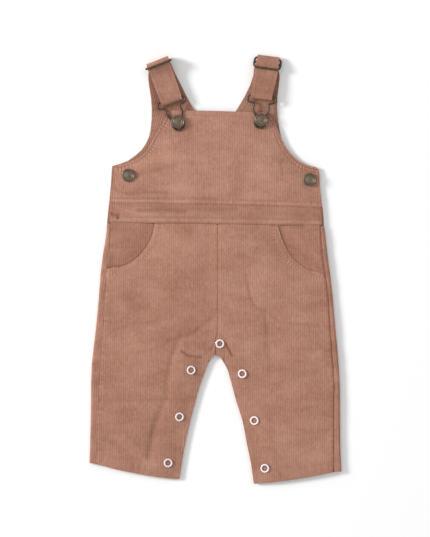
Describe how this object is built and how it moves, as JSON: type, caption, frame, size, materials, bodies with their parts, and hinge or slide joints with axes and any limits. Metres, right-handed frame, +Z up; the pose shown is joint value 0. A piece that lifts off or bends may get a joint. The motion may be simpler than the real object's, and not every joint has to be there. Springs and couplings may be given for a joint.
{
  "type": "toddler overalls",
  "caption": "Toddler's corduroy overalls laid flat, with a bib, buckled straps, scooped front pockets, side buttons and ring snaps down the inseams.",
  "frame": {"origin": "middle of the laid garment's footprint, on the surface that it lies on", "axes": "+Z up, away from the surface; +Y from the hems towards the shoulder straps; +X to the right of somebody looking down at the front"},
  "size_m": [0.2772, 0.4718, 0.0167],
  "materials": {
    "corduroy": "brushed cotton corduroy, wales about 2.4 mm apart, dusty pink brown",
    "antique_brass": "antique brass, satin, darker in the hollows",
    "white_snap": "white enamelled ring snap, satin"
  },
  "bodies": {
    "root": {"front_bib": "corduroy", "waistband": "corduroy", "front_leg_left": "corduroy", "front_leg_right": "corduroy", "hip_left": "corduroy", "hip_right": "corduroy", "crotch_tab": "corduroy", "back_bib": "corduroy", "back_leg_left": "corduroy", "back_leg_right": "corduroy", "back_strap_left": "corduroy", "back_strap_right": "corduroy", "strap_left": "corduroy", "strap_right": "corduroy", "slider_left": "antique_brass", "slider_right": "antique_brass", "buckle_left": "antique_brass", "buckle_right": "antique_brass", "bib_button_left": "antique_brass", "bib_button_right": "antique_brass", "side_button_left": "antique_brass", "side_button_right": "antique_brass", "snap_centre": "white_snap", "snap_left_1": "white_snap", "snap_left_2": "white_snap", "snap_left_3": "white_snap", "snap_right_1": "white_snap", "snap_right_2": "white_snap", "snap_right_3": "white_snap"}
  },
  "joints": []
}
